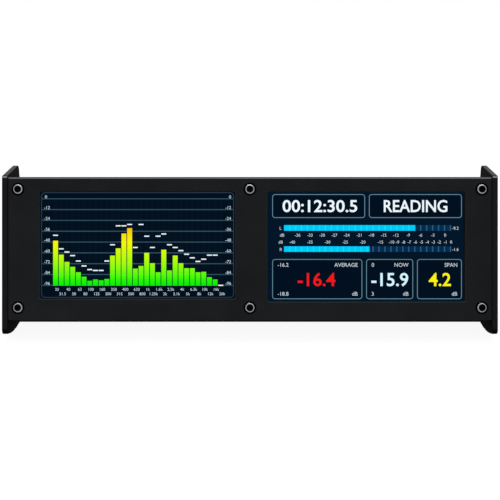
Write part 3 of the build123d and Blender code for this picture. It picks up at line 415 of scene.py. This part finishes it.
# closed outline of a rounded box: four quarter turns run end to end, anticlockwise
def roundedOutline(box, radius, steps=7):
    left, low, right, high = box
    angle = np.concatenate([np.linspace(0, pi / 2, steps) + quarter * pi / 2 for quarter in range(4)])
    x = np.repeat([right - radius, left + radius, left + radius, right - radius], steps)
    up = np.repeat([high - radius, high - radius, low + radius, low + radius], steps)
    return np.stack([x + radius * np.cos(angle), up + radius * np.sin(angle)], 1)


# frames: each box's outline carried across its line's width, over a filled inside
def frames(name, centre, boxes, radius, width, light, insideLight=None):
    boxes = np.asarray(boxes, float)
    grow = np.array([-1, -1, 1, 1]) * width / 2
    outer = np.stack([roundedOutline(box + grow, radius + width / 2) for box in boxes])
    inner = np.stack([roundedOutline(box - grow, radius - width / 2) for box in boxes])
    count = outer.shape[1]
    flat = np.concatenate([outer, inner], 1).reshape(-1, 2) + centre
    ring = gridFaces(2, count, wrapCols=True)[:, ::-1]
    faces = np.concatenate([ring + 2 * count * i for i in range(len(boxes))])
    piece(name, onPanel(flat[:, 0], flat[:, 1], layers["line"]), faces, light)
    if insideLight:
        flat = outer.reshape(-1, 2) + centre
        fans = np.arange(len(flat)).reshape(len(boxes), count)
        points = onPanel(flat[:, 0], flat[:, 1], layers["inset"])
        piece(name + "Inside", points, fans, insideLight)


letterSteps = 3  # straight steps along each curve of a letter
letterShelf = {}
atLeft, atMiddle, atRight = 0.0, 0.5, 1.0  # share of a text's width that lies left of its place


# outline of some lettering in its own units, the built-in face thickened by a weight
def lettering(text, weight):
    if (text, weight) not in letterShelf:
        curve = bpy.data.curves.new("lettering", "FONT")
        curve.body, curve.offset, curve.resolution_u = text, weight, letterSteps
        obj = bpy.data.objects.new("lettering", curve)
        scene.collection.objects.link(obj)
        mesh = bpy.data.meshes.new_from_object(obj)
        points = np.empty(3 * len(mesh.vertices))
        corners = np.empty(len(mesh.loops), int)
        starts = np.empty(len(mesh.polygons), int)
        mesh.vertices.foreach_get("co", points)
        mesh.loops.foreach_get("vertex_index", corners)
        mesh.polygons.foreach_get("loop_start", starts)
        letterShelf[(text, weight)] = points.reshape(-1, 3)[:, :2], np.split(corners, starts[1:])
        bpy.data.meshes.remove(mesh)
        bpy.data.objects.remove(obj)
        bpy.data.curves.remove(curve)
    return letterShelf[(text, weight)]


# lettering in rows of text, x, baseline, cap height, the share of its width left of x, and its width where
# that is set: the outline slid by that share and stretched to the height and width
def writing(name, centre, rows, light, weight=0.0):
    points, faces, total = [], [], 0
    capital = lettering("H", weight)[0][:, 1].max()
    for text, x, base, height, anchor, *width in rows:
        flat, polygons = lettering(text, weight)
        low, span = flat[:, 0].min(), np.ptp(flat[:, 0])
        tall = height / capital
        wide = width[0] / span if width else tall
        points.append(onPanel(centre[0] + x + (flat[:, 0] - low - anchor * span) * wide,
                              centre[1] + base + flat[:, 1] * tall, layers["mark"]))
        faces += [polygon + total for polygon in polygons]
        total += len(flat)
    piece(name, np.concatenate(points), faces, light)


groundLook = dict(size=(110.6, 62.2), across=13, up=7)


# a picture's dark ground: one flat sheet just in front of the picture panel, an even grid across and up
def ground(name, centre, rgb):
    look = groundLook
    wide, tall = look["size"]
    across, up = np.meshgrid(np.linspace(-0.5, 0.5, look["across"]), np.linspace(-0.5, 0.5, look["up"]))
    points = onPanel(centre[0] + wide * across, centre[1] + tall * up, layers["ground"])
    piece(name, points, gridFaces(look["up"], look["across"])[:, ::-1], pictureLight(name, rgb))


whiteLight = pictureLight("whiteFigures", (240, 250, 255))
paleLight = pictureLight("paleFigures", (206, 216, 226))

# left picture: a spectrum of level bars over a ruled field, levels and marks in decibels
spectrum = dict(
    centre=windows["left"][:2], groundTone=(3, 16, 30),
    border=(-54.2, -29.35, 53.8, 29.6), borderRound=2.0, borderWidth=0.4, borderTone=(45, 61, 77),
    topRule=26.14, rulePitch=6.09, ruleStep=12, ruleCount=9, ruleEnds=(-54.0, 53.5), ruleWidth=0.55,
    ruleTone=(50, 80, 95),
    firstBar=-47.73, barPitch=3.207, barWidth=2.76, columnInset=0.4, columnTone=(5, 19, 33), floor=-96.3,
    levels=(-46.5, -62, -70, -75.5, -81.5, -86.5, -91, -89.5, -90.5, -89, -63, -55, -38.5, -32.5, -77.5,
            -74.5, -60, -71.5, -81.5, -56.5, -79.5, -63, -71.5, -77, -77, -81.5, -81, -87, -89.5),
    holds=(-40.5, -55.5, -59, -63, -69, -74.5, -78.5, -79.5, -79.5, -69, -51, -30, -30, -28.5, -54,
           -28.5, -41.5, -54, -41.5, -39, -51, -54, -57.5, -61.5, -65.5, -69.5, -67, -62.5, -62.5, -96),
    holdHeight=0.66,
    climb=((0.0, (10, 232, 8)), (0.1, (36, 246, 4)), (0.27, (119, 250, 15)), (0.6, (213, 251, 15)),
           (0.74, (251, 249, 11)), (0.93, (250, 211, 17)), (1.0, (250, 190, 20))),
    figureHeight=1.7, figureGap=0.25, leftFigures=-52.7, rightFigures=52.4, noughtInset=0.45,
    bands=("25", "31.5", "40", "50", "63", "80", "100", "125", "160", "200", "250", "315", "400", "500",
           "630", "800", "1k", "1.25k", "1.6k", "2k", "2.5k", "3.1k", "4k", "5k", "6.3k", "8k", "10k", "12k",
           "16k", "20k"),
    bandBase=-25.6, bandDrop=2.55, bandHeight=1.55, bandShift=0.8,
)


# height of a level in decibels: down from the top rule, one rule pitch for each step
def heightOf(level):
    return spectrum["topRule"] + np.asarray(level, float) * spectrum["rulePitch"] / spectrum["ruleStep"]


centre = spectrum["centre"]
ground("spectrumGround", centre, spectrum["groundTone"])
frames("spectrumBorder", centre, [spectrum["border"]], spectrum["borderRound"], spectrum["borderWidth"],
       pictureLight("spectrumBorder", spectrum["borderTone"]))
scale = -spectrum["ruleStep"] * np.arange(spectrum["ruleCount"])
rules, halfRule, ruleEnds = heightOf(scale), spectrum["ruleWidth"] / 2, spectrum["ruleEnds"]
bars("spectrumRules", centre, sides(ruleEnds[0], rules - halfRule, ruleEnds[1], rules + halfRule), "rule",
     pictureLight("spectrumRules", spectrum["ruleTone"]))
slots = spectrum["firstBar"] + spectrum["barPitch"] * np.arange(len(spectrum["bands"]))
slotEnds, inset = slots + spectrum["barWidth"], spectrum["columnInset"]
bars("spectrumColumns", centre, sides(slots + inset, rules[-1], slotEnds - inset, rules[0]), "inset",
     pictureLight("spectrumColumns", spectrum["columnTone"]))
levels, lowest = np.array(spectrum["levels"]), spectrum["floor"]
lit, climbed = len(levels), (levels - lowest) / (levels.max() - lowest)
bars("spectrumBars", centre, sides(slots[:lit], heightOf(lowest), slotEnds[:lit], heightOf(levels)), "bar",
     pictureLight("spectrumBars", climb=spectrum["climb"]), climbed)
holds, halfHold = heightOf(spectrum["holds"]), spectrum["holdHeight"] / 2
bars("spectrumHolds", centre, sides(slots, holds - halfHold, slotEnds, holds + halfHold), "mark", whiteLight)
figures = []
for level, up in zip(scale, rules + spectrum["figureGap"]):
    left = spectrum["leftFigures"] + (spectrum["noughtInset"] if level == 0 else 0)
    for x, anchor in ((left, atLeft), (spectrum["rightFigures"], atRight)):
        figures.append((str(level), x, up, spectrum["figureHeight"], anchor))
places = slots + spectrum["barWidth"] / 2 + spectrum["bandShift"]
for i, (text, x) in enumerate(zip(spectrum["bands"], places)):
    base = spectrum["bandBase"] - spectrum["bandDrop"] * (i % 2)
    figures.append((text, x, base, spectrum["bandHeight"], atMiddle))
writing("spectrumFigures", centre, figures, paleLight)
print("left picture drawn")

# right picture: a clock and a state, two running levels with their scales, and three readings
readout = dict(
    centre=windows["right"][:2], groundTone=(4, 22, 40), insideTone=(2, 16, 32),
    lineTone=(102, 140, 154), lineWidth=0.39, lineRound=1.4,
    left=-52.39, right=53.93, gap=2.6,
    upperBoxes=(16.4, 29.4), upperSplits=(0.75,), lowerBoxes=(-29.3, -7.15), lowerSplits=(-0.81, 27.82),
    tracks=((9.0, 12.17), (-2.87, 0.22)), trackEnds=(-45.97, 48.1), lit=(27.93, 2.19), tickPitch=3.353,
    tickWidth=0.7, seamWidth=0.7,
    litTone=(1, 204, 250), seamTone=(14, 224, 255), dimTone=(3, 45, 80), tickTone=(48, 90, 122),
    headings=(("00:12:30.5", 0.7, 42.1), ("READING", 0.1, 35.8)),  # text, place off its box's middle, width
    headingHeight=6.62, headingBase=19.64, boldWeight=0.016,
    scaleBases=(5.7, 1.78), smallHeight=1.67, unitPlaces=(-45.8, -46.6), fineCount=11,
    scales=(dict(first=-38.3, pitch=6.92, count=13, low=-36, step=3),
            dict(first=-41.3, pitch=9.92, count=6, low=-40, step=5)),
    trackNotes=(("L", -47.4, 9.55, atRight), ("R", -47.0, -2.35, atRight),
                ("-9.2", 48.7, 9.6, atLeft), ("-1.6", 48.7, -2.35, atLeft)),
    corners=(("-16.2", "AVERAGE", "-18.8", "dB"), ("0", "NOW", "3", "dB"), ("", "SPAN", "", "dB")),
    cornerHeight=2.1, cornerBases=(-11.26, -27.55), cornerInsets=(2.9, 2.4),
    readings=(("redReading", "-16.4", -0.4, 21.3, (240, 26, 28)),
              ("iceReading", "-15.9", 0.1, 20.8, (214, 246, 255)),
              ("yellowReading", "4.2", 0.2, 12.5, (252, 244, 20))),
    readingHeight=7.25, readingBase=-22.02,
)


# boxes side by side between two ends: the splits, each opened by the gap
def sideBySide(splits, low, high):
    half = readout["gap"] / 2
    edges = [readout["left"] - half, *splits, readout["right"] + half]
    return [(left + half, low, right - half, high) for left, right in zip(edges[:-1], edges[1:])]


centre = readout["centre"]
ground("readoutGround", centre, readout["groundTone"])
upper = sideBySide(readout["upperSplits"], *readout["upperBoxes"])
lower = sideBySide(readout["lowerSplits"], *readout["lowerBoxes"])
lineLight = pictureLight("readoutFrames", readout["lineTone"])
insideLight = pictureLight("readoutInside", readout["insideTone"])
frames("readoutFrames", centre, upper + lower, readout["lineRound"], readout["lineWidth"],
       lineLight, insideLight)
start, end = readout["trackEnds"]
tickWidth, seamWidth = readout["tickWidth"], readout["seamWidth"]
ticks = np.arange(end, start + tickWidth, -readout["tickPitch"])
dimRows, litRows, tickRows, seamRows = [], [], [], []
for (low, high), edge in zip(readout["tracks"], readout["lit"]):
    beyond, within = ticks[ticks > edge + tickWidth], ticks[ticks < edge]
    dimRows.append((start, low, end, high))
    litRows.append((start, low, edge, high))
    tickRows.extend(sides(beyond - tickWidth, low, beyond, high))
    seamRows.extend(sides(within - seamWidth, low, within, high))
trackParts = (("dimTracks", dimRows, "rule", "dimTone"), ("litTracks", litRows, "bar", "litTone"),
              ("trackTicks", tickRows, "bar", "tickTone"), ("trackSeams", seamRows, "mark", "seamTone"))
for name, rows, layer, tone in trackParts:
    bars(name, centre, rows, layer, pictureLight(name, readout[tone]))

middles = [(left + right) / 2 for left, low, right, high in upper + lower]
figures = [(text, middle + shift, readout["headingBase"], readout["headingHeight"], atMiddle, width)
           for (text, shift, width), middle in zip(readout["headings"], middles)]
writing("clockFigures", centre, figures, whiteLight, readout["boldWeight"])
figures, small, fineBase = [], readout["smallHeight"], readout["scaleBases"][1]
for row, base, unitPlace in zip(readout["scales"], readout["scaleBases"], readout["unitPlaces"]):
    for i in range(row["count"]):
        level = str(row["low"] + row["step"] * i)
        figures.append((level, row["first"] + row["pitch"] * i, base, small, atMiddle))
    figures.append(("dB", unitPlace, base, small, atRight))
figures += [(str(-i), x, fineBase, small, atMiddle) for i, x in enumerate(ticks[:readout["fineCount"]])]
figures += [(text, x, base, small, anchor) for text, x, base, anchor in readout["trackNotes"]]
insets = readout["cornerInsets"]
for (left, low, right, high), texts in zip(lower, readout["corners"]):
    ends = ((left + insets[0], atLeft), (right - insets[1], atRight))
    places = [(x, base, readout["cornerHeight"], anchor)
              for base in readout["cornerBases"] for x, anchor in ends]
    figures += [(text, *place) for text, place in zip(texts, places) if text]
writing("readoutFigures", centre, figures, paleLight)
for (name, text, shift, width, tone), middle in zip(readout["readings"], middles[len(upper):]):
    figures = [(text, middle + shift, readout["readingBase"], readout["readingHeight"], atMiddle, width)]
    writing(name, centre, figures, pictureLight(name, tone), readout["boldWeight"])
print("right picture drawn")

# rear: brass sleeves in the sockets' contact holes
sleeveLook = dict(circle=5.5, angles=(90, 210, 330), outer=1.22, inner=0.78, lip=0.16, lipSteps=7,
                  recess=0.5, depth=8.5, around=20)


# sleeves: a profile, out along the wall, over the rounded lip and back down the bore, turned about the
# axis of each contact
def sleeves(name, node):
    look = sleeveLook
    low, high = [np.array(corner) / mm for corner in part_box(node)]
    x, z, face = (low[0] + high[0]) / 2, (low[2] + high[2]) / 2, high[1]
    bend = np.linspace(0, pi, look["lipSteps"])
    middle, half = (look["outer"] + look["inner"]) / 2, (look["outer"] - look["inner"]) / 2
    away = np.concatenate([[look["outer"]], middle + half * np.cos(bend), [look["inner"]]])[:, None]
    overLip = look["recess"] + look["lip"] * (1 - np.sin(bend))
    deep = np.concatenate([[look["depth"]], overLip, [look["depth"]]])[:, None]
    turn = np.linspace(0, 2 * pi, look["around"], endpoint=False)
    spots = np.radians(look["angles"])[:, None, None]
    across = x + look["circle"] * np.cos(spots) + away * np.cos(turn)
    up = z + look["circle"] * np.sin(spots) + away * np.sin(turn)
    points = np.stack(np.broadcast_arrays(across, face - deep, up), -1)
    ring = gridFaces(len(away), len(turn), wrapCols=True)
    faces = np.concatenate([ring + i * len(away) * len(turn) for i in range(len(look["angles"]))])
    piece(name, points * mm, faces, finishOf["contact_brass"], smooth=True)


for socketName in ("digital", "analog_left", "analog_right"):
    sleeves(socketName + "_sleeves", socketName + "_core")

# power rocker: the line and ring marks, printed on its two leaning faces
markLook = dict(
    lean=9.0, crest=1.0, horn=3.0, half=7.6, along=3.9, skin=0.03,
    line=(0.28, 1.55), ring=(1.05, 1.55), ringSteps=40,
    ink=dict(tones=((214, 216, 214), (232, 234, 232)), mottle=900, grain=3000, rough=(0.45, 0.6), lift=0.1),
)
markFinish = surface("rocker_marks", markLook["ink"])[0]
hinge = next(joint for joint in frame["joints"] if joint["name"] == "power_rocker_hinge")
pivot = np.array(hinge["pos_m"]) / mm


# a point on one face of the rocker: across it, and along it from the crest, a skin above it, leaned with it
def onRocker(across, along, side):
    look = markLook
    slope = (look["horn"] - look["crest"]) / look["half"]
    length = (1 + slope ** 2) ** 0.5
    out = look["crest"] + (slope * along + look["skin"]) / length
    up = side * (along - look["skin"] * slope) / length
    lean = radians(look["lean"])
    y = pivot[1] + out * cos(lean) - up * sin(lean)
    z = pivot[2] + out * sin(lean) + up * cos(lean)
    return np.stack(np.broadcast_arrays(pivot[0] + across, y, z), -1) * mm


halfWide, halfLong = markLook["line"]
across, along = np.array([-1, -1, 1, 1]) * halfWide, markLook["along"] + np.array([-1, 1, 1, -1]) * halfLong
points = onRocker(across, along, 1)
piece("rocker_line", points, [(0, 1, 2, 3)], markFinish, "power_rocker")
turn = np.linspace(0, 2 * pi, markLook["ringSteps"], endpoint=False)
away = np.array(markLook["ring"])[:, None]
points = onRocker(away * np.cos(turn), markLook["along"] + away * np.sin(turn), -1)
faces = gridFaces(len(away), len(turn), wrapCols=True)[:, ::-1]
piece("rocker_ring", points, faces, markFinish, "power_rocker")
print("rear details made")

# stage: a pale floor, soft light and the eye
stageLook = dict(
    floorHalf=3.0, floorSteps=7, floorTone=0.1, floorRough=0.9, floorGlow=0.92,
    skyHigh=1.1, skyLow=1.0, skyBand=(-0.2, 0.9), stripPower=3.6, stripSize=(0.9, 0.12), stripReach=700,
)
look = stageLook
white = (1, 1, 1, 1)


# 1 for the rays that show the backdrop: those seen, mirrored or let through
def backdropRays(tree):
    path = addNode(tree, "LightPath")
    seen = addMath(tree, "MAXIMUM", path.outputs["Is Camera Ray"], path.outputs["Is Glossy Ray"])
    return addMath(tree, "MAXIMUM", seen, path.outputs["Is Transmission Ray"])


steps = np.linspace(-look["floorHalf"], look["floorHalf"], look["floorSteps"])
x, y = np.meshgrid(steps, steps)
mesh = bpy.data.meshes.new("floor")
mesh.from_pydata(np.stack([x, y, 0 * x], -1).reshape(-1, 3).tolist(), [],
                 gridFaces(len(steps), len(steps))[:, ::-1].tolist())
floorFinish, tree, shader = newFinish("floor")
feed(tree, shader.inputs["Base Color"], (*[look["floorTone"]] * 3, 1))
feed(tree, shader.inputs["Roughness"], look["floorRough"])
feed(tree, shader.inputs["Specular IOR Level"], 0)
feed(tree, shader.inputs["Emission Color"], white)
glow = addMath(tree, "MULTIPLY", backdropRays(tree), look["floorGlow"])
feed(tree, shader.inputs["Emission Strength"], glow)
mesh.materials.append(floorFinish)
floor = bpy.data.objects.new("floor", mesh)
scene.collection.objects.link(floor)

world = bpy.data.worlds.new("studio")
scene.world = world
world.use_nodes = True
tree = world.node_tree
tree.nodes.clear()
height = addNode(tree, "SeparateXYZ", Vector=addNode(tree, "TexCoord").outputs["Generated"]).outputs["Z"]
sky = addSpread(tree, addStep(tree, height, *look["skyBand"]), look["skyLow"], look["skyHigh"])
softSky = addNode(tree, "Background", Color=white, Strength=sky)
plainSky = addNode(tree, "Background", Color=white, Strength=1.0)
choose = addNode(tree, "MixShader", Fac=backdropRays(tree))
tree.links.new(softSky.outputs[0], choose.inputs[1])
tree.links.new(plainSky.outputs[0], choose.inputs[2])
tree.links.new(choose.outputs[0], addNode(tree, "OutputWorld").inputs[0])

# a strip light straight up the panel's lean, so that it catches the upper bevels and not the face
strip = bpy.data.lights.new("strip", "AREA")
strip.shape = "RECTANGLE"
strip.size, strip.size_y = look["stripSize"]
strip.energy = look["stripPower"]
stripLamp = bpy.data.objects.new("strip", strip)
stripLamp.location = onPanel(0, look["stripReach"], 0).tolist()
stripLamp.rotation_euler = (-radians(panel["tilt"]), 0, 0)
scene.collection.objects.link(stripLamp)

# the eye: square to the panel, a little below its middle
shot = dict(lens=67.63, sensor=36, near=0.01, distance=525.0, drop=-0.34, aside=0.05)
eye = bpy.data.cameras.new("eye")
eye.lens, eye.sensor_width, eye.clip_start = shot["lens"], shot["sensor"], shot["near"]
camera = bpy.data.objects.new("eye", eye)
camera.rotation_euler = (radians(90 - panel["tilt"]), 0, 0)
camera.location = onPanel(shot["aside"], shot["drop"], -shot["distance"]).tolist()
scene.collection.objects.link(camera)
scene.camera = camera
scene.view_settings.view_transform = "Standard"
print("stage set")
